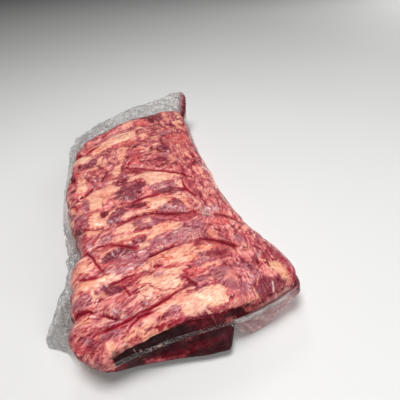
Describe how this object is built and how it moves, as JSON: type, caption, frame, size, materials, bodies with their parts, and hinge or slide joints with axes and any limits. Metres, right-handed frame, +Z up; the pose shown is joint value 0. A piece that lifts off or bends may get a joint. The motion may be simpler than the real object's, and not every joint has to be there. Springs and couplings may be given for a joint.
{
  "type": "vacuum-packed whole beef sirloin",
  "caption": "Whole boneless beef sirloin lying rib side up, skin-packed in a clear vacuum bag whose crinkled welded margin stands out round it.",
  "frame": {"origin": "on the table, under the middle of the pack", "axes": "+Y along the slab away from its squarely cut end, +Z up through the rib side, +X across it"},
  "size_m": [0.2876, 0.5406, 0.085],
  "materials": {
    "raw_beef": "raw beef, lean and fat in streaks, under a tight clear film that shines",
    "clear_film": "clear crinkled plastic film, shiny"
  },
  "bodies": {
    "root": {"sirloin": "raw_beef", "vacuum_bag": "clear_film"}
  },
  "joints": []
}
